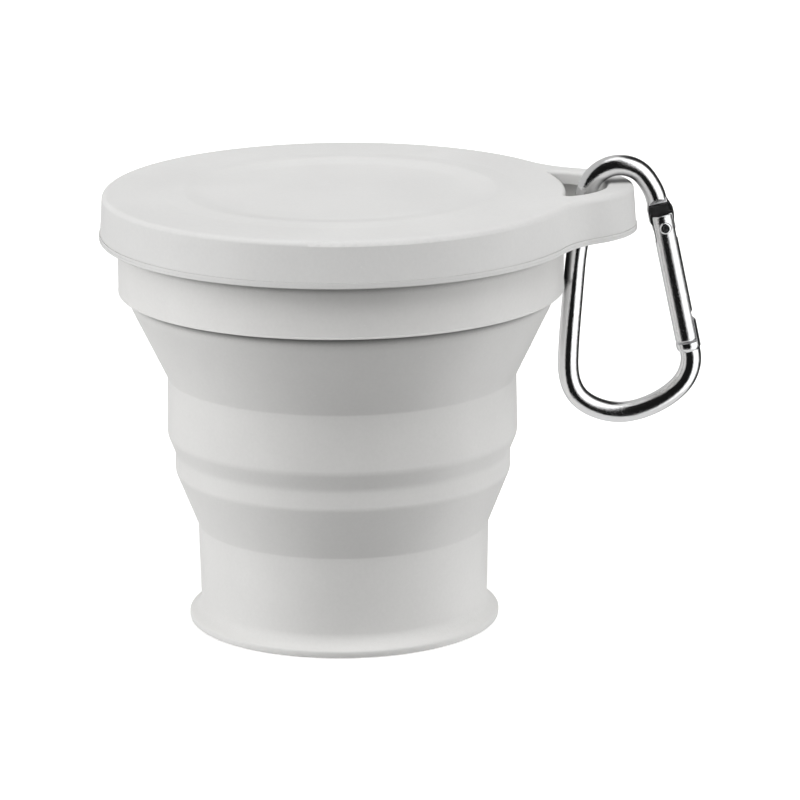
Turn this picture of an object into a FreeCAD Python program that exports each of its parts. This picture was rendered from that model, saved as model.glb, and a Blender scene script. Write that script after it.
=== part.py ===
import FreeCAD, Part
import os, math
from FreeCAD import Vector

os.makedirs("parts", exist_ok=True)

# Collapsible travel cup. Millimetres, +Z up, cup axis on Z, underside of the
# base on z = 0, the hanging ear of the lid along +X.

# ---------------------------------------------------------------- dimensions
# lid
LID_TOP = 82.1          # top face of the lid
LID_BOT = 73.6          # lower edge of the skirt
LID_R = 45.0            # outer radius of the bead round the skirt's lower edge
LID_STEP = 0.15         # height of the step above the bead
LID_DRAFT = 0.7         # bead radius minus top radius
BEAD_H = 1.1            # height of the bead
EAR_C = 39.4            # centre of the ear's round end, from the cup axis
EAR_R = 16.3            # radius of the ear's round end at the bead
EAR_FIL = 18.0          # concave radius between lid circle and ear
SKIRT_T = 3.05          # skirt wall
PLATE_Z = 79.7          # underside of the lid plate
TOP_FIL = 1.0           # rounding of the lid's top edge
BEAD_FIL = 0.2          # rounding of the skirt's lower edge
LINE_STEP = 0.05        # fine step part of the way up the bead
DISH_RO, DISH_RC, DISH_RI = 33.2, 29.1, 24.6  # dish in the top: foot of its soft ridge, crest, floor
DISH_H, DISH_D = 0.2, 0.34                    # height of the crest, depth of the floor
SLOT_IN = 41.9          # slot in the ear: inner arc about the cup axis
SLOT_C, SLOT_R = 38.4, 11.6                  # slot: outer arc
PLUG_RO, PLUG_RI, PLUG_H = 36.9, 35.3, 2.7   # sealing ring under the plate

# rigid rim ring
RING_RO, RING_RI = 41.6, 39.18
RING_Z0, RING_Z1 = 63.55, 78.87

# silicone cup, moulded in one piece; split here at its fold lines
RIM_RI = 37.2           # inside of the top tier
RIM_RO = 39.15          # outside of the top tier, under the ring
SHO_R, SHO_Z = 39.52, 63.55                  # shoulder below the ring
FOLD1_Z, FOLD1_R = 60.5, 39.15               # upper fold web, upper end
FOLD2_Z, FOLD2_R = 47.2, 32.73               # upper fold web, lower end
MID_R, MID_Z = 32.93, 36.1                   # middle band, lower edge
SML_R, SML_Z = 31.54, 32.7                   # small band, upper edge
MID_RI, SML_RI = 30.3, 29.1                  # inside of the middle tier
FOLD3_Z, FOLD3_R = 28.9, 31.54               # lower fold web, upper end
FOLD4_Z, FOLD4_R = 18.6, 27.42               # lower fold web, lower end
BASE_RI = 24.9                               # inside of the base
FLOOR_Z = 2.6
WEB_T1, WEB_T2 = 1.40, 1.35                  # radial thickness of the fold webs

# carabiner, in the XZ plane
WIRE_R = 1.95
PIV = Vector(60.9, 0, 73.3)                  # gate rivet
GATE_TILT = -11.65                           # degrees about +Y
GATE_R, GATE_UP, GATE_DN = 2.15, 2.4, 22.7
TONGUE_T = 1.8
RIVET_R = 0.78
LIP_X = 1.80                                 # inner face of the nose's lip


# ------------------------------------------------------------------ helpers
def rounded(pts):
    """Closed wire in the XZ plane from (r, z[, radius]) corners."""
    n = len(pts)
    P = [Vector(p[0], 0, p[1]) for p in pts]
    R = [p[2] if len(p) > 2 else 0.0 for p in pts]
    a, b, m = [], [], []
    for i in range(n):
        p, q, s = P[i - 1], P[i], P[(i + 1) % n]
        if R[i] <= 0:
            a.append(q); b.append(q); m.append(None); continue
        u = (p - q).normalize(); v = (s - q).normalize()
        half = math.acos(max(-1, min(1, u.dot(v)))) / 2
        t = R[i] / math.tan(half)
        c = q + (u + v).normalize() * (R[i] / math.sin(half))
        a.append(q + u * t); b.append(q + v * t)
        m.append(c + (q - c).normalize() * R[i])
    edges = []
    for i in range(n):
        if m[i] is not None:
            edges.append(Part.Arc(a[i], m[i], b[i]).toShape())
        j = (i + 1) % n
        if (a[j] - b[i]).Length > 1e-6:
            edges.append(Part.LineSegment(b[i], a[j]).toShape())
    return Part.Wire(edges)


def turn(pts):
    return Part.Face(rounded(pts)).revolve(Vector(0, 0, 0), Vector(0, 0, 1), 360)


def lid_wire(off, z):
    """Lid outline with its ear; off moves it outwards (+) or inwards (-)."""
    r0, re, rf = LID_R + off, EAR_R + off, EAR_FIL - off
    A, B, c = LID_R + EAR_FIL, EAR_R + EAR_FIL, EAR_C
    x = (A * A - B * B + c * c) / (2 * c)
    y = math.sqrt(A * A - x * x)
    th, ph = math.atan2(y, x), math.atan2(y, x - c)

    def lid_p(t): return Vector(r0 * math.cos(t), r0 * math.sin(t), z)
    def ear_p(t): return Vector(c + re * math.cos(t), re * math.sin(t), z)

    def fil_p(sy):
        f0 = Vector(x, sy * y, z)
        p1, p2 = lid_p(sy * th), ear_p(sy * ph)
        mid = ((p1 - f0) + (p2 - f0)).normalize() * rf
        return p1, f0 + mid, p2
    big = Part.Arc(lid_p(th), lid_p(math.pi), lid_p(-th)).toShape()
    a, m, b = fil_p(-1)
    f1 = Part.Arc(a, m, b).toShape()
    ear = Part.Arc(ear_p(-ph), ear_p(0), ear_p(ph)).toShape()
    a, m, b = fil_p(1)
    f2 = Part.Arc(b, m, a).toShape()
    return Part.Wire([big, f1, ear, f2])


def tall(wire, h):
    return Part.Face(wire).extrude(Vector(0, 0, h))


def edges_at(shape, test):
    return [e for e in shape.Edges if test(e)]


def all_z(e, z, tol=1e-3):
    bb = e.BoundBox
    return abs(bb.ZMin - z) < tol and abs(bb.ZMax - z) < tol


def try_fillet(shape, r, edges, name):
    try:
        out = shape.makeFillet(r, edges)
        if out.isValid() and out.Volume > 0:
            return out
    except Exception as ex:
        print("fillet", name, "failed:", ex)
    print("fillet", name, "left sharp")
    return shape


def save(shape, node):
    if shape.ShapeType == "Compound" and len(shape.Solids) == 1:
        shape = shape.Solids[0]
    print("%-16s valid %s solids %d volume %.1f" % (node, shape.isValid(), len(shape.Solids), shape.Volume))
    shape.exportStep("parts/" + node + ".step")


# ---------------------------------------------------------------------- lid
skirt = Part.makeLoft([lid_wire(-LID_STEP, LID_BOT), lid_wire(-LID_DRAFT, LID_TOP)], True, True)
skirt = try_fillet(skirt, TOP_FIL, edges_at(skirt, lambda e: all_z(e, LID_TOP)), "lid top")
bead = tall(lid_wire(0, LID_BOT), BEAD_H * 0.5)
bead = try_fillet(bead, BEAD_FIL, edges_at(bead, lambda e: all_z(e, LID_BOT)), "bead")
bead = bead.fuse(tall(lid_wire(-LINE_STEP, LID_BOT + BEAD_H * 0.5), BEAD_H * 0.5))
skirt_low_trim = tall(lid_wire(1.0, LID_BOT - 1), 1 + BEAD_H).cut(tall(lid_wire(-1.2, LID_BOT - 1), 1 + BEAD_H))
lid = skirt.cut(skirt_low_trim).fuse(bead)
lid = lid.cut(tall(lid_wire(-SKIRT_T, LID_BOT - 1), PLATE_Z - LID_BOT + 1))
# shallow dish inside a soft low ridge
lid = lid.cut(turn([(0, LID_TOP + 2), (DISH_RO, LID_TOP + 2), (DISH_RO, LID_TOP - 0.6), (0, LID_TOP - 0.6)]))
disc = turn([(0, LID_TOP - 0.9), (DISH_RO, LID_TOP - 0.9), (DISH_RO, LID_TOP), (DISH_RC, LID_TOP + DISH_H, 3.0),
             (DISH_RI, LID_TOP - DISH_D, 16.0), (0, LID_TOP - DISH_D)])
lid = lid.fuse(disc).removeSplitter()
# slot through the ear
cx = (SLOT_IN ** 2 - SLOT_R ** 2 + SLOT_C ** 2) / (2 * SLOT_C)
cy = math.sqrt(SLOT_IN ** 2 - cx * cx)
ca = math.atan2(cy, cx)
z0 = PLATE_Z - 1
pa, pb = Vector(cx, -cy, z0), Vector(cx, cy, z0)
slot = Part.Face(Part.Wire([Part.Arc(pa, Vector(SLOT_C + SLOT_R, 0, z0), pb).toShape(),
                            Part.Arc(pb, Vector(SLOT_IN, 0, z0), pa).toShape()])).extrude(Vector(0, 0, 4))
upright = edges_at(slot, lambda e: e.BoundBox.ZLength > 3)
slot = try_fillet(slot, 0.9, upright, "slot corners")
lid = lid.cut(slot)
slot_e = edges_at(lid, lambda e: all_z(e, LID_TOP) and e.BoundBox.XMin > 39.5 and e.BoundBox.XMax < 50.2 and e.BoundBox.YLength < 24)
lid = try_fillet(lid, 0.7, slot_e, "slot rim")
plug = turn([(PLUG_RI + 0.3, PLATE_Z - PLUG_H), (PLUG_RO, PLATE_Z - PLUG_H, 0.5), (PLUG_RO, PLATE_Z), (PLUG_RI, PLATE_Z), (PLUG_RI, PLATE_Z - PLUG_H + 0.3)])
lid = lid.fuse(plug)
save(lid, "lid")

# ----------------------------------------------------------------- rim ring
ring = turn([(RING_RI, RING_Z0), (RING_RO + 0.06, RING_Z0, 0.1), (RING_RO + 0.06, RING_Z0 + 0.32), (RING_RO, RING_Z0 + 0.4),
             (RING_RO, RING_Z1, 0.4), (RING_RI, RING_Z1)])
save(ring, "rim_ring")

# ------------------------------------------------------------- silicone cup
rim = turn([(RIM_RI, FOLD1_Z), (FOLD1_R, FOLD1_Z), (SHO_R, 61.3, 1.2), (SHO_R, SHO_Z - 0.35), (RIM_RO, SHO_Z - 0.35),
            (RIM_RO, RING_Z1 + 0.03), (41.3, RING_Z1 + 0.03), (41.3, PLATE_Z - 0.03, 0.3), (RIM_RI, PLATE_Z - 0.03, 0.5)])
save(rim, "rim_tier")

web1 = turn([(FOLD2_R - WEB_T1, FOLD2_Z), (FOLD2_R, FOLD2_Z), (FOLD1_R, FOLD1_Z), (FOLD1_R - WEB_T1, FOLD1_Z)])
save(web1, "upper_fold_web")

mid = turn([(SML_RI, FOLD3_Z), (FOLD3_R, FOLD3_Z), (SML_R, SML_Z, 0.3), (MID_R, MID_Z, 0.6), (FOLD2_R, FOLD2_Z),
            (MID_RI, FOLD2_Z, 0.5), (MID_RI, MID_Z - 0.5, 1.0), (SML_RI, SML_Z, 1.0)])
save(mid, "middle_tier")

web2 = turn([(FOLD4_R - WEB_T2, FOLD4_Z), (FOLD4_R, FOLD4_Z), (FOLD3_R, FOLD3_Z), (FOLD3_R - WEB_T2, FOLD3_Z)])
save(web2, "lower_fold_web")

# base tier: straight wall, small concave sweep, thin flange for a foot
V = lambda r, z: Vector(r, 0, z)
L = lambda p, q: Part.LineSegment(p, q).toShape()
fr = 2.2
WALL_Z, WALL_R, SWEEP = 4.07, 27.06, 2.65    # where the sweep starts, and its radius
FOOT_R, FOOT_Z, SWEEP_A = 29.3, 1.3, 60.0    # the flange's edge
sc = V(WALL_R + SWEEP, WALL_Z)


def sweep_p(deg):
    t = math.radians(180 + deg)
    return V(sc.x + SWEEP * math.cos(t), sc.z + SWEEP * math.sin(t))


edges = [L(V(0, 0), V(FOOT_R - 0.3, 0)),
         Part.Arc(V(FOOT_R - 0.3, 0), V(FOOT_R - 0.3 + 0.3 * math.sin(math.pi / 4), 0.3 - 0.3 * math.cos(math.pi / 4)), V(FOOT_R, 0.3)).toShape(),
         L(V(FOOT_R, 0.3), V(FOOT_R, FOOT_Z - 0.45)),
         Part.Arc(V(FOOT_R, FOOT_Z - 0.45), V(FOOT_R - 0.11, FOOT_Z - 0.14), V(FOOT_R - 0.36, FOOT_Z + 0.16)).toShape(),
         L(V(FOOT_R - 0.36, FOOT_Z + 0.16), sweep_p(SWEEP_A)),
         Part.Arc(sweep_p(SWEEP_A), sweep_p(SWEEP_A / 2), sweep_p(0)).toShape(),
         L(sweep_p(0), V(FOLD4_R, FOLD4_Z)),
         L(V(FOLD4_R, FOLD4_Z), V(BASE_RI + 0.5, FOLD4_Z)),
         Part.Arc(V(BASE_RI + 0.5, FOLD4_Z), V(BASE_RI + 0.5 - 0.5 * math.sin(math.pi / 4), FOLD4_Z - 0.5 + 0.5 * math.cos(math.pi / 4)), V(BASE_RI, FOLD4_Z - 0.5)).toShape(),
         L(V(BASE_RI, FOLD4_Z - 0.5), V(BASE_RI, FLOOR_Z + fr)),
         Part.Arc(V(BASE_RI, FLOOR_Z + fr), V(BASE_RI - fr + fr * math.sin(math.pi / 4), FLOOR_Z + fr - fr * math.cos(math.pi / 4)), V(BASE_RI - fr, FLOOR_Z)).toShape(),
         L(V(BASE_RI - fr, FLOOR_Z), V(0, FLOOR_Z)),
         L(V(0, FLOOR_Z), V(0, 0))]
base = Part.Face(Part.Wire(edges)).revolve(Vector(0, 0, 0), Vector(0, 0, 1), 360)
save(base, "base_tier")

# ---------------------------------------------------------------- carabiner
place = FreeCAD.Placement(PIV, FreeCAD.Rotation(Vector(0, 1, 0), GATE_TILT))


def put(shape):
    s = shape.copy()
    s.Placement = place.multiply(s.Placement)
    return s


def local(x, z):
    """World point from gate coordinates: x outwards, z up along the gate."""
    return place.multVec(Vector(x, 0, z))


top_c, top_r = Vector(52.4, 0, 78.9), 6.3
path_pts = [local(-0.12, 2.7), Vector(59.66, 0, 77.7), Vector(59.2, 0, 79.4)]
for deg in (27, 50, 72, 95, 120, 145, 168):
    t = math.radians(deg)
    path_pts.append(top_c + Vector(top_r * math.cos(t), 0, top_r * math.sin(t)))
path_pts += [Vector(45.35, 0, 75.0), Vector(44.45, 0, 69.0), Vector(43.75, 0, 61.5), Vector(43.2, 0, 54.5), Vector(42.88, 0, 49.0),
             Vector(43.0, 0, 45.2), Vector(44.55, 0, 41.2), Vector(48.2, 0, 38.5), Vector(53.6, 0, 37.5), Vector(58.5, 0, 38.65),
             Vector(62.4, 0, 40.8), Vector(65.2, 0, 43.7), Vector(66.25, 0, 46.8)]
nose_end = local(0.18, -24.3)
path_pts.append(nose_end)
curve = Part.BSplineCurve()
curve.interpolate(path_pts)
path = Part.Wire([curve.toShape()])
p0, d0 = curve.value(curve.FirstParameter), curve.tangent(curve.FirstParameter)[0]
disc = Part.Wire([Part.Circle(p0, d0, WIRE_R).toShape()])
wire = path.makePipeShell([disc], True, False)
if wire.ShapeType != "Solid":
    wire = Part.Solid(wire) if wire.ShapeType == "Shell" else wire.Solids[0]

# flattened tongue at the hinge end, with a round tail about the rivet
outline = [local(-2.12, 5.3), local(-2.2, 4.6), local(-2.42, 3.7), local(-2.42, 1.2), local(-1.95, 0.35), local(2.0, 0.35),
           local(2.3, 2.2), local(2.28, 3.6), local(1.5, 5.6)]
poly = Part.makePolygon([Vector(p.x, -TONGUE_T / 2, p.z) for p in outline + outline[:1]])
tongue = Part.Face(poly).extrude(Vector(0, TONGUE_T, 0))
tail = Part.makeCylinder(2.1, TONGUE_T, Vector(PIV.x, -TONGUE_T / 2, PIV.z), Vector(0, 1, 0))
tongue = tongue.fuse(tail).removeSplitter()
# the wire's end is pressed flat: two cheeks, each with a slope up to the full round
cheeks = []
for s in (-1, 1):
    k = Part.makePolygon([Vector(-5, s * y, z) for y, z in ((TONGUE_T / 2, 0), (TONGUE_T / 2, 4.65), (2.3, 6.05), (4, 6.05), (4, 0), (TONGUE_T / 2, 0))])
    cheeks.append(put(Part.Face(k).extrude(Vector(10, 0, 0))))
# nose: a cup under the gate's end, with a lip up its outer side
cup = Part.makeCylinder(2.32, 2.05, Vector(0.08, 0, -24.95), Vector(0, 0, 1))
cup = try_fillet(cup, 1.3, edges_at(cup, lambda e: all_z(e, -24.95)), "nose cup")
lip = Part.makeCylinder(2.38, 5.4, Vector(0.03, 0, -24.0), Vector(0, 0, 1))
wedge = Part.Face(Part.makePolygon([Vector(LIP_X, -4, -24.2), Vector(4, -4, -24.2), Vector(4, -4, -19.9), Vector(2.3, -4, -18.9),
                                    Vector(2.0, -4, -18.6), Vector(LIP_X + 0.02, -4, -18.75), Vector(LIP_X, -4, -24.2)])).extrude(Vector(0, 8, 0))
lip = lip.common(wedge)
nose = put(cup.fuse(lip))
for k in cheeks:
    wire = wire.cut(k)
body = wire.fuse(tongue).fuse(nose)
body = body.cut(Part.makeCylinder(RIVET_R + 0.02, 6, Vector(PIV.x, -3, PIV.z), Vector(0, 1, 0)))
# keep the wire clear of the gate's closed position
body = body.cut(put(Part.makeCylinder(GATE_R + 0.08, 0.4, Vector(0, 0, -22.9), Vector(0, 0, 1))))
body = body.removeSplitter()
save(body, "carabiner_body")

# gate tube: slotted top, blind bore for the spring, rivet hole
g = Part.makeCylinder(GATE_R, GATE_UP + GATE_DN, Vector(0, 0, -GATE_DN), Vector(0, 0, 1))
g = try_fillet(g, 0.35, edges_at(g, lambda e: all_z(e, GATE_UP)), "gate top")
g = try_fillet(g, 0.5, edges_at(g, lambda e: all_z(e, -GATE_DN)), "gate end")
g = g.cut(Part.makeBox(8, TONGUE_T + 0.2, 5.4, Vector(-4, -TONGUE_T / 2 - 0.1, -2.6)))
# flat on the outer side, which the nose's lip lies on
notch = Part.makeBox(4, 8, 6.2, Vector(LIP_X - 0.09, -4, -23.2))
notch = try_fillet(notch, 0.35, edges_at(notch, lambda e: all_z(e, -17.0) and abs(e.BoundBox.XMin - (LIP_X - 0.09)) < 1e-3 and e.BoundBox.XLength < 1e-3), "gate flat")
g = g.cut(notch)
g = g.cut(Part.makeCylinder(1.3, 15.2, Vector(0, 0, -17.2), Vector(0, 0, 1)))
g = g.cut(Part.makeCylinder(RIVET_R + 0.07, 6, Vector(0, -3, 0), Vector(0, 1, 0)))
save(put(g), "carabiner_gate")

# rivet with two low domed heads
rv = Part.makeCylinder(RIVET_R, 4.8, Vector(0, -2.4, 0), Vector(0, 1, 0))
for s in (-1, 1):
    hd = Part.makeCylinder(1.14, 0.5, Vector(0, s * 2.22, 0), Vector(0, s, 0))
    hd = try_fillet(hd, 0.44, edges_at(hd, lambda e: abs(abs(e.BoundBox.Center.y) - 2.72) < 1e-3 and e.BoundBox.YLength < 1e-3), "rivet head")
    rv = rv.fuse(hd)
save(put(rv.removeSplitter()), "gate_rivet")

# plunger and spring inside the gate
pl = Part.makeCylinder(0.9, 0.7, Vector(0, 0, -2.9), Vector(0, 0, 1))
pl = pl.fuse(Part.makeCylinder(1.24, 2.1, Vector(0, 0, -4.9), Vector(0, 0, 1)))
pl = pl.fuse(Part.makeCylinder(0.6, 1.8, Vector(0, 0, -6.7), Vector(0, 0, 1))).removeSplitter()
save(put(pl), "gate_plunger")

helix = Part.makeHelix(1.3, 11.7, 0.95)
coil = Part.Wire([Part.Circle(Vector(0.95, 0, 0), Vector(0, 1, 0.218), 0.2).toShape()])
sp = Part.Wire(helix).makePipeShell([coil], True, True)
if sp.ShapeType == "Shell":
    sp = Part.Solid(sp)
sp.translate(Vector(0, 0, -16.9))
save(put(sp), "gate_spring")
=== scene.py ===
import math

import bmesh
import bpy
from mathutils import Matrix, Vector


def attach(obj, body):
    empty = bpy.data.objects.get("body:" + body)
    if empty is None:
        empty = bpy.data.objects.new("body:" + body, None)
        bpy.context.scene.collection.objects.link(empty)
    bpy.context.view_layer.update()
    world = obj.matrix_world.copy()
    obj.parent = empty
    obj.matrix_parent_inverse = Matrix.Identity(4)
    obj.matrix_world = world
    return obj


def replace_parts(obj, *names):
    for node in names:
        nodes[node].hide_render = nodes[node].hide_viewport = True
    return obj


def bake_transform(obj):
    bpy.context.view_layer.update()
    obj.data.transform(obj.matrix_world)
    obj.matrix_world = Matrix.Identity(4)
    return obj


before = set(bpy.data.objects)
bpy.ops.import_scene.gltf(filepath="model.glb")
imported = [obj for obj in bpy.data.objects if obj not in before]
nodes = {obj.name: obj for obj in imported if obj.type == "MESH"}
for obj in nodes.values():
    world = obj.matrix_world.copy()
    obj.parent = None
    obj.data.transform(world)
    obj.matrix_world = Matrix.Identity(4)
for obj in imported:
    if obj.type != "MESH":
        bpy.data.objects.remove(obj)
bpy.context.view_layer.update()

scene = bpy.context.scene
scene.view_settings.view_transform = "Standard"
scene.view_settings.look = "None"
scene.view_settings.exposure = 0.0
scene.view_settings.gamma = 1.0

MM = 0.001
CAM_AZ = -5.3          # the camera's azimuth about the cup, degrees


# ------------------------------------------------------------------ camera
cam_data = bpy.data.cameras.new("camera")
cam_data.sensor_width = 36.0
cam_data.lens = 216.58
cam_data.clip_start, cam_data.clip_end = 0.01, 50.0
cam = bpy.data.objects.new("camera", cam_data)
scene.collection.objects.link(cam)
cam.matrix_world = (
    Matrix.Translation((-0.08077, -0.87220, 0.27033))
    @ Matrix.Rotation(math.radians(-6.0), 4, "Z")
    @ Matrix.Rotation(math.radians(75.361), 4, "X")
    @ Matrix.Rotation(math.radians(-0.408), 4, "Z")
)
scene.camera = cam


# --------------------------------------------------------------- node tools
class Net:
    """A short way to write a node tree."""

    def __init__(self, tree):
        self.t = tree
        tree.nodes.clear()

    def add(self, kind, **kw):
        n = self.t.nodes.new(kind)
        for k, v in kw.items():
            setattr(n, k, v)
        return n

    def link(self, a, b):
        self.t.links.new(a, b)

    def set(self, socket, value):
        if isinstance(value, bpy.types.NodeSocket):
            self.t.links.new(value, socket)
        else:
            socket.default_value = value

    def math(self, op, a, b=0.0, clamp=False):
        n = self.add("ShaderNodeMath", operation=op, use_clamp=clamp)
        self.set(n.inputs[0], a)
        if op not in ("EXPONENT", "ARCSINE", "ARCCOSINE", "SQRT", "ABSOLUTE"):
            self.set(n.inputs[1], b)
        return n.outputs[0]

    def step(self, x, lo, hi):
        """0 below lo, 1 above hi, smooth between."""
        n = self.add("ShaderNodeMapRange", interpolation_type="SMOOTHSTEP")
        self.set(n.inputs["Value"], x)
        n.inputs["From Min"].default_value = lo
        n.inputs["From Max"].default_value = hi
        return n.outputs["Result"]

    def noise(self, vec, scale, detail=2.0, rough=0.5):
        n = self.add("ShaderNodeTexNoise")
        self.set(n.inputs["Vector"], vec)
        n.inputs["Scale"].default_value = scale
        n.inputs["Detail"].default_value = detail
        n.inputs["Roughness"].default_value = rough
        return n.outputs[0]

    def ramp(self, x, lo, hi, a, b):
        n = self.add("ShaderNodeMapRange")
        n.clamp = True
        self.set(n.inputs["Value"], x)
        n.inputs["From Min"].default_value = lo
        n.inputs["From Max"].default_value = hi
        n.inputs["To Min"].default_value = a
        n.inputs["To Max"].default_value = b
        return n.outputs["Result"]


# ------------------------------------------------------------------ the light
# Soft studio light: a dim room with soft lobes where the boxes hang.
# (azimuth from -Y, towards +X; elevation; strength)
LOBES = [
    (0, -30, 1.430), (0, 60, 1.600), (30, 60, 2.321), (60, 60, 1.150), (90, -30, 0.390), (90, 0, 2.700),
    (90, 30, 0.586), (120, -30, 4.500), (150, -30, 0.404), (180, -30, 0.926), (180, 0, 0.479), (180, 30, 2.383),
    (180, 60, 0.250), (210, -30, 1.432), (240, -30, 0.924), (270, -30, 2.417), (270, 0, 2.300), (300, 30, 2.988),
    (300, 60, 0.850), (330, 60, 0.560),
]
world = bpy.data.worlds.new("studio")
scene.world = world
world.use_nodes = True
net = Net(world.node_tree)
coord = net.add("ShaderNodeTexCoord")
total = None
for az, el, amount in LOBES:
    a, e = math.radians(az - 6.0), math.radians(el)
    dot = net.add("ShaderNodeVectorMath", operation="DOT_PRODUCT")
    net.link(coord.outputs["Generated"], dot.inputs[0])
    dot.inputs[1].default_value = (math.sin(a) * math.cos(e), -math.cos(a) * math.cos(e), math.sin(e))
    lobe = net.math("EXPONENT", net.math("MULTIPLY_ADD", dot.outputs["Value"], 15.0))
    lobe.node.inputs[0].links[0].from_node.inputs[2].default_value = -15.0
    lobe = net.math("MULTIPLY", lobe, amount)
    total = lobe if total is None else net.math("ADD", total, lobe)
back = net.add("ShaderNodeBackground")
back.inputs["Color"].default_value = (1.0, 1.0, 1.0, 1)
net.link(total, back.inputs["Strength"])
out = net.add("ShaderNodeOutputWorld")
net.link(back.outputs[0], out.inputs["Surface"])


def stage_mesh(name, verts, faces):
    me = bpy.data.meshes.new(name)
    me.from_pydata(verts, [], faces)
    ob = bpy.data.objects.new(name, me)
    scene.collection.objects.link(ob)
    return ob


# the floor: pale, seen by the camera, clear from below
S = 4.0
floor = stage_mesh("floor", [(-S, -S, -0.0002), (S, -S, -0.0002), (S, S, -0.0002), (-S, S, -0.0002)], [(0, 1, 2, 3)])
floor.visible_diffuse = False
floor.visible_glossy = False
floor.visible_shadow = False
m = bpy.data.materials.new("floor_paper")
m.use_nodes = True
net = Net(m.node_tree)
coord = net.add("ShaderNodeTexCoord")
dif = net.add("ShaderNodeBsdfPrincipled")
dif.inputs["Roughness"].default_value = 0.9
dif.inputs["Specular IOR Level"].default_value = 0.0
mix = net.add("ShaderNodeMix", data_type="RGBA")
net.link(net.noise(coord.outputs["Object"], 35.0, 4.0), mix.inputs["Factor"])
mix.inputs["A"].default_value = (0.90, 0.90, 0.895, 1)
mix.inputs["B"].default_value = (0.93, 0.93, 0.925, 1)
net.link(mix.outputs["Result"], dif.inputs["Base Color"])
dif.inputs["Emission Color"].default_value = (1, 1, 1, 1)
dif.inputs["Emission Strength"].default_value = 0.30
clear = net.add("ShaderNodeBsdfTransparent")
geo = net.add("ShaderNodeNewGeometry")
pick = net.add("ShaderNodeMixShader")
net.link(geo.outputs["Backfacing"], pick.inputs[0])
net.link(dif.outputs[0], pick.inputs[1])
net.link(clear.outputs[0], pick.inputs[2])
out = net.add("ShaderNodeOutputMaterial")
net.link(pick.outputs[0], out.inputs["Surface"])
floor.data.materials.append(m)

# the tent: what the metal sees. White and grey walls, with the dark room
# behind the camera.
tent_me = bpy.data.meshes.new("tent")
bm = bmesh.new()
bmesh.ops.create_icosphere(bm, subdivisions=4, radius=3.0)
bm.to_mesh(tent_me)
bm.free()
tent = bpy.data.objects.new("tent", tent_me)
scene.collection.objects.link(tent)
for flag in ("visible_camera", "visible_diffuse", "visible_shadow", "visible_transmission", "visible_volume_scatter"):
    setattr(tent, flag, False)
m = bpy.data.materials.new("tent_walls")
m.use_nodes = True
net = Net(m.node_tree)
geo = net.add("ShaderNodeNewGeometry")
spin = net.add("ShaderNodeVectorRotate", rotation_type="Z_AXIS")
net.link(geo.outputs["Position"], spin.inputs["Vector"])
spin.inputs["Angle"].default_value = math.radians(-CAM_AZ)
nrm = net.add("ShaderNodeVectorMath", operation="NORMALIZE")
net.link(spin.outputs[0], nrm.inputs[0])
sep = net.add("ShaderNodeSeparateXYZ")
net.link(nrm.outputs[0], sep.inputs[0])
# azimuth from the camera, + to the right, in degrees
az = net.math("MULTIPLY", net.math("ARCTAN2", sep.outputs["X"], net.math("MULTIPLY", sep.outputs["Y"], -1.0)), 180 / math.pi)
el = net.math("MULTIPLY", net.math("ARCSINE", sep.outputs["Z"]), 180 / math.pi)


def blend_val(a, b, t):
    """a where t is 0, b where t is 1."""
    n = net.add("ShaderNodeMix", data_type="FLOAT")
    net.set(n.inputs[0], t)
    net.set(n.inputs[2], a)
    net.set(n.inputs[3], b)
    return n.outputs[0]


wall = blend_val(0.52, 0.008, net.step(az, -62.0, -52.0))          # left wall, then the dark room
wall = blend_val(wall, 1.30, net.step(az, 24.0, 33.0))             # right box
wall = blend_val(wall, 0.03, net.step(az, 84.0, 104.0))            # dark behind it
wall = blend_val(wall, 0.45, net.step(az, 158.0, 176.0))
wall = blend_val(wall, 1.15, net.step(el, 68.0, 74.0))             # top box
wall = blend_val(0.72, wall, net.step(el, -45.0, -39.0))           # table
em = net.add("ShaderNodeEmission")
net.link(wall, em.inputs["Strength"])
out = net.add("ShaderNodeOutputMaterial")
net.link(em.outputs[0], out.inputs["Surface"])
tent_me.materials.append(m)


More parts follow.
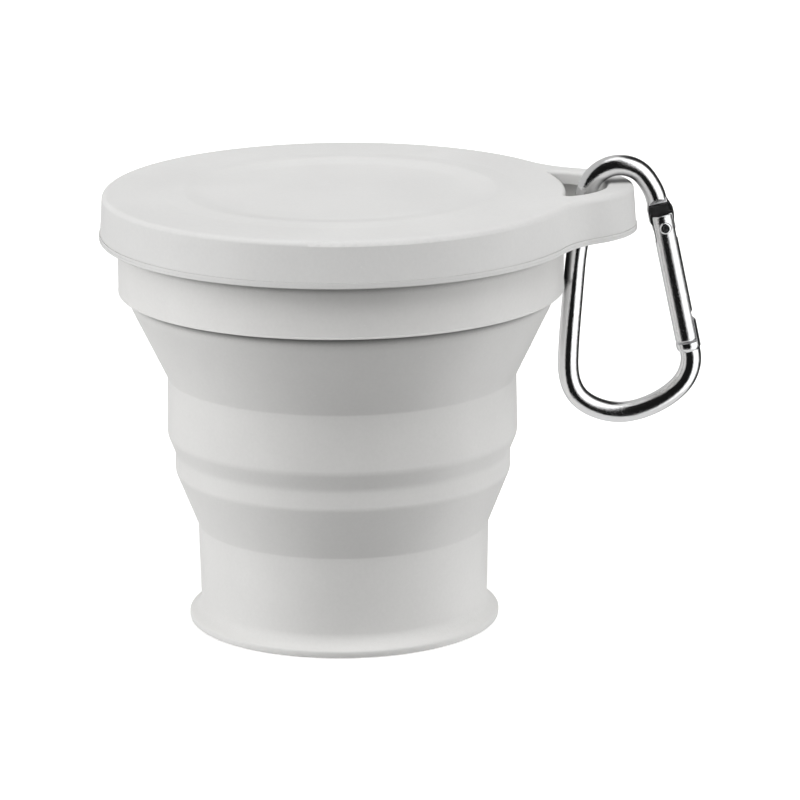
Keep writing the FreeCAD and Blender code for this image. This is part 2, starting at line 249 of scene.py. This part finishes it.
# ------------------------------------------------------------------ materials
def silicone(name, colour, rough, grain=1.0, spec=0.32, reach=0.003, crease_to=0.82, power=4.5):
    """Matte moulded silicone: a fine blasted skin, a trace of cloudiness, a few dust specks, and painted shade that
    darkens the base colour in the creases (reach, crease_to and power shape it).
    """
    m = bpy.data.materials.new(name)
    m.use_nodes = True
    net = Net(m.node_tree)
    coord = net.add("ShaderNodeTexCoord").outputs["Object"]
    bsdf = net.add("ShaderNodeBsdfPrincipled")
    cloud = net.noise(coord, 55.0, 3.0, 0.55)
    fine = net.noise(coord, 1600.0, 2.0, 0.6)
    speck = net.noise(coord, 780.0, 1.0, 0.5)
    c0 = tuple(c * 0.982 for c in colour) + (1,)
    c1 = tuple(min(1, c * 1.018) for c in colour) + (1,)
    mix = net.add("ShaderNodeMix", data_type="RGBA")
    net.link(net.ramp(cloud, 0.35, 0.65, 0.0, 1.0), mix.inputs["Factor"])
    mix.inputs["A"].default_value, mix.inputs["B"].default_value = c0, c1
    grainy = net.add("ShaderNodeMix", data_type="RGBA", blend_type="MULTIPLY")
    grainy.inputs["Factor"].default_value = 1.0
    net.link(mix.outputs["Result"], grainy.inputs["A"])
    tone = net.add("ShaderNodeCombineColor")
    tv = net.ramp(fine, 0.3, 0.7, 0.985, 1.012)
    for i in range(3):
        net.link(tv, tone.inputs[i])
    net.link(tone.outputs[0], grainy.inputs["B"])
    dust = net.add("ShaderNodeMix", data_type="RGBA")
    net.link(net.ramp(speck, 0.80, 0.84, 0.0, 0.35), dust.inputs["Factor"])
    net.link(grainy.outputs["Result"], dust.inputs["A"])
    dust.inputs["B"].default_value = (0.80, 0.80, 0.79, 1)
    # painted shade: the base colour is darkened where ambient occlusion finds tight gaps, as under the overhanging
    # edges
    near = net.add("ShaderNodeAmbientOcclusion", samples=12)
    near.inputs["Distance"].default_value = reach
    gap = net.math("POWER", net.ramp(near.outputs["AO"], 0.15, crease_to, 0.10, 1.0), power)
    painted_crease_shade = net.add("ShaderNodeMix", data_type="RGBA", blend_type="MULTIPLY")
    painted_crease_shade.inputs["Factor"].default_value = 1.0
    net.link(dust.outputs["Result"], painted_crease_shade.inputs["A"])
    shade = net.add("ShaderNodeCombineColor")
    for i in range(3):
        net.link(gap, shade.inputs[i])
    net.link(shade.outputs[0], painted_crease_shade.inputs["B"])
    net.link(painted_crease_shade.outputs["Result"], bsdf.inputs["Base Color"])
    net.link(net.ramp(cloud, 0.3, 0.7, rough - 0.04, rough + 0.04), bsdf.inputs["Roughness"])
    bump = net.add("ShaderNodeBump")
    bump.inputs["Strength"].default_value = 0.22 * grain
    bump.inputs["Distance"].default_value = 0.00004
    net.link(fine, bump.inputs["Height"])
    net.link(bump.outputs[0], bsdf.inputs["Normal"])
    bsdf.inputs["Specular IOR Level"].default_value = spec
    bsdf.inputs["Sheen Weight"].default_value = 0.04
    bsdf.inputs["Sheen Roughness"].default_value = 0.5
    out = net.add("ShaderNodeOutputMaterial")
    net.link(bsdf.outputs[0], out.inputs["Surface"])
    return m


def polished(name, colour, rough, scratch=1.0):
    """Polished plated metal with fine handling scratches."""
    m = bpy.data.materials.new(name)
    m.use_nodes = True
    net = Net(m.node_tree)
    coord = net.add("ShaderNodeTexCoord").outputs["Object"]
    bsdf = net.add("ShaderNodeBsdfPrincipled")
    bsdf.inputs["Metallic"].default_value = 1.0
    smear = net.noise(coord, 220.0, 3.0, 0.6)
    fine = net.noise(coord, 1900.0, 4.0, 0.8)
    mapping = net.add("ShaderNodeMapping")
    net.link(coord, mapping.inputs["Vector"])
    mapping.inputs["Rotation"].default_value = (0, math.radians(35), 0)
    mapping.inputs["Scale"].default_value = (1.0, 1.0, 9.0)
    lines = net.noise(mapping.outputs[0], 700.0, 3.0, 0.65)
    mix = net.add("ShaderNodeMix", data_type="RGBA")
    net.link(net.ramp(smear, 0.35, 0.65, 0.0, 1.0), mix.inputs["Factor"])
    mix.inputs["A"].default_value = tuple(c * 0.965 for c in colour) + (1,)
    mix.inputs["B"].default_value = tuple(colour) + (1,)
    net.link(mix.outputs["Result"], bsdf.inputs["Base Color"])
    net.link(net.ramp(lines, 0.35, 0.75, rough, rough + 0.07), bsdf.inputs["Roughness"])
    height = net.math("ADD", net.math("MULTIPLY", lines, 0.4), net.math("MULTIPLY", fine, 0.6))
    bump = net.add("ShaderNodeBump")
    bump.inputs["Strength"].default_value = min(1.0, 0.6 * scratch)
    bump.inputs["Distance"].default_value = 0.00007
    net.link(height, bump.inputs["Height"])
    net.link(bump.outputs[0], bsdf.inputs["Normal"])
    out = net.add("ShaderNodeOutputMaterial")
    net.link(bsdf.outputs[0], out.inputs["Surface"])
    return m


GREY = (0.650, 0.648, 0.640)
mat_lid = silicone("lid_silicone", GREY, 0.50, reach=0.004, crease_to=0.62, power=1.7)
mat_cup = silicone("cup_silicone", (0.664, 0.660, 0.648), 0.52)
# hard plastic ring, smoother than the silicone; its base colour is painted about 8 % lighter than the cup's to lift
# the shade under the lid's overhang
mat_ring_painted_light = silicone("ring_plastic_painted_light", (0.716, 0.711, 0.698), 0.42, 0.6, 0.4)
mat_steel = polished("polished_alloy", (0.90, 0.90, 0.905), 0.045)
mat_gate = polished("polished_gate", (0.90, 0.90, 0.905), 0.05, 1.6)
mat_spring = polished("spring_wire", (0.62, 0.62, 0.63), 0.16, 1.4)


def dress(node, material):
    ob = nodes[node]
    ob.data.materials.clear()
    ob.data.materials.append(material)


for n, m in (("lid", mat_lid), ("rim_ring", mat_ring_painted_light), ("rim_tier", mat_cup), ("upper_fold_web", mat_cup), ("middle_tier", mat_cup),
             ("lower_fold_web", mat_cup), ("base_tier", mat_cup), ("carabiner_body", mat_steel), ("carabiner_gate", mat_gate),
             ("gate_rivet", mat_steel), ("gate_plunger", mat_spring), ("gate_spring", mat_spring)):
    dress(n, m)


# ------------------------------------------------------------------ cup skins
def round_line(pts, step=0.12):
    """Open profile in mm from (r, z[, radius]) corners, its bends sampled as arcs."""
    out = []
    n = len(pts)
    for i, p in enumerate(pts):
        q = Vector(p[:2])
        rad = p[2] if len(p) > 2 else 0.0
        if rad <= 0 or i in (0, n - 1):
            out.append(q)
            continue
        u, v = (Vector(pts[i - 1][:2]) - q).normalized(), (Vector(pts[i + 1][:2]) - q).normalized()
        half = math.acos(max(-1, min(1, u.dot(v)))) / 2
        t, c = rad / math.tan(half), q + (u + v).normalized() * (rad / math.sin(half))
        a, b = q + u * t - c, q + v * t - c
        ang = a.angle_signed(b)
        k = max(4, int(abs(ang) * rad / step) + 1)
        k = min(k, 40)
        a0 = math.atan2(a.y, a.x)
        a1 = math.atan2(b.y, b.x)
        d = (a1 - a0 + math.pi) % (2 * math.pi) - math.pi
        for j in range(k + 1):
            w = a0 + d * j / k
            out.append(c + Vector((math.cos(w), math.sin(w))) * rad)
    return out


def densify(line, gap):
    out = [line[0]]
    for p, q in zip(line, line[1:]):
        k = max(1, int(math.ceil((q - p).length / gap)))
        out += [p.lerp(q, (j + 1) / k) for j in range(k)]
    return out


def lathe(name, outer, inner, seg=256, gap=1.6, sharp=50.0):
    """Closed turned piece from an outer profile (top to bottom) and an inner one (bottom to top), in mm.
    A profile that touches r = 0 closes with a fan."""
    line = densify(outer, gap) + densify(inner, gap)
    clean = [line[0]]
    for p in line[1:]:
        if (p - clean[-1]).length > 1e-5:
            clean.append(p)
    if (clean[0] - clean[-1]).length < 1e-5:
        clean.pop()
    bm = bmesh.new()
    rings = []
    for p in clean:
        if p.x < 1e-6:
            rings.append([bm.verts.new((0, 0, p.y * MM))])
        else:
            rings.append([bm.verts.new((p.x * MM * math.cos(2 * math.pi * k / seg), p.x * MM * math.sin(2 * math.pi * k / seg), p.y * MM))
                          for k in range(seg)])
    m = len(rings)
    for i in range(m):
        a, b = rings[i], rings[(i + 1) % m]
        if len(a) == 1 and len(b) == 1:
            continue
        for k in range(seg):
            k2 = (k + 1) % seg
            if len(a) == 1:
                bm.faces.new((a[0], b[k2], b[k]))
            elif len(b) == 1:
                bm.faces.new((a[k], a[k2], b[0]))
            else:
                bm.faces.new((a[k], a[k2], b[k2], b[k]))
    bmesh.ops.recalc_face_normals(bm, faces=bm.faces)
    for f in bm.faces:
        f.smooth = True
    me = bpy.data.meshes.new(name)
    bm.to_mesh(me)
    bm.free()
    me.set_sharp_from_angle(angle=math.radians(sharp))
    ob = bpy.data.objects.new(name, me)
    scene.collection.objects.link(ob)
    return ob


def finish_piece(ob, material):
    ob.data.materials.clear()
    ob.data.materials.append(material)
    return ob


K1 = (39.15 - 32.73) / (60.5 - 47.2)        # slope of the upper web
K2 = (31.54 - 27.42) / (28.9 - 18.6)        # slope of the lower web
U_TOP, U_BOT, L_TOP, L_BOT = 60.3, 47.7, 28.1, 19.15     # where the tiers' skins meet the webs'


def c1(z):
    return 32.73 + (z - 47.2) * K1


def c2(z):
    return 27.42 + (z - 18.6) * K2


T1, T2 = 1.40, 1.35
# rim tier: lip, wall behind the ring, shoulder under it
outer = round_line([(39.0, 79.67), (41.3, 79.67, 0.3), (41.3, 78.9, 0.12), (39.15, 78.9), (39.15, 63.2), (39.52, 63.2, 0.12),
                    (39.52, 61.27, 3.2), (c1(U_TOP), U_TOP)])
inner = round_line([(c1(U_TOP) - T1, U_TOP), (37.2, 62.6, 2.2), (37.2, 79.67, 0.6), (39.0, 79.67)])
rim = finish_piece(lathe("rim_tier_skin", outer, inner), mat_cup)
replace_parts(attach(rim, "collar"), "rim_tier")

# upper fold web
outer = [Vector((c1(U_TOP), U_TOP)), Vector((c1(U_BOT), U_BOT))]
inner = [Vector((c1(U_BOT) - T1, U_BOT)), Vector((c1(U_TOP) - T1, U_TOP))]
web = finish_piece(lathe("upper_web_skin", outer, inner, gap=0.35), mat_cup)
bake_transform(web)
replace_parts(web, "upper_fold_web")

# middle tier: wide band, step, small band
outer = round_line([(c1(U_BOT), U_BOT), (32.73, 47.2, 0.9), (32.93, 36.1, 3.4), (31.54, 32.7, 3.2), (31.54, 28.9, 2.8), (c2(L_TOP), L_TOP)])
inner = round_line([(c2(L_TOP) - T2, L_TOP), (29.1, 29.2, 0.8), (29.1, 32.9, 2.0), (30.3, 35.8, 2.0), (30.3, 46.5, 0.9), (c1(U_BOT) - T1, U_BOT)])
mid = finish_piece(lathe("middle_tier_skin", outer, inner), mat_cup)
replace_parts(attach(mid, "middle"), "middle_tier")

# lower fold web
outer = [Vector((c2(L_TOP), L_TOP)), Vector((c2(L_BOT), L_BOT))]
inner = [Vector((c2(L_BOT) - T2, L_BOT)), Vector((c2(L_TOP) - T2, L_TOP))]
web = finish_piece(lathe("lower_web_skin", outer, inner, gap=0.30), mat_cup)
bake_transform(web)
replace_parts(web, "lower_fold_web")

# base tier: straight wall, small concave sweep, thin flange for a foot
SW, WZ, WR = 2.65, 4.07, 27.06
sweep = [Vector((WR + SW - SW * math.cos(math.radians(d)), WZ - SW * math.sin(math.radians(d)))) for d in [60 * k / 22 for k in range(23)]]
outer = round_line([(c2(L_BOT), L_BOT), (27.42, 18.6, 1.2), (WR, WZ)])[:-1] + sweep[:-1]
outer += round_line([tuple(sweep[-2]), tuple(sweep[-1]), (29.3, 1.27, 0.5), (29.3, 0.52, 0.08), (29.24, 0.42, 0.08), (29.26, 0.0, 0.25), (20.0, 0.0)])[1:]
outer += round_line([(20.0, 0.0), (0.0, 0.0)])
inner = round_line([(0.0, 2.6), (24.9, 2.6, 2.2), (24.9, 17.9, 0.8), (c2(L_BOT) - T2, L_BOT)])
base = finish_piece(lathe("base_tier_skin", outer, inner), mat_cup)
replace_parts(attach(base, "base"), "base_tier")
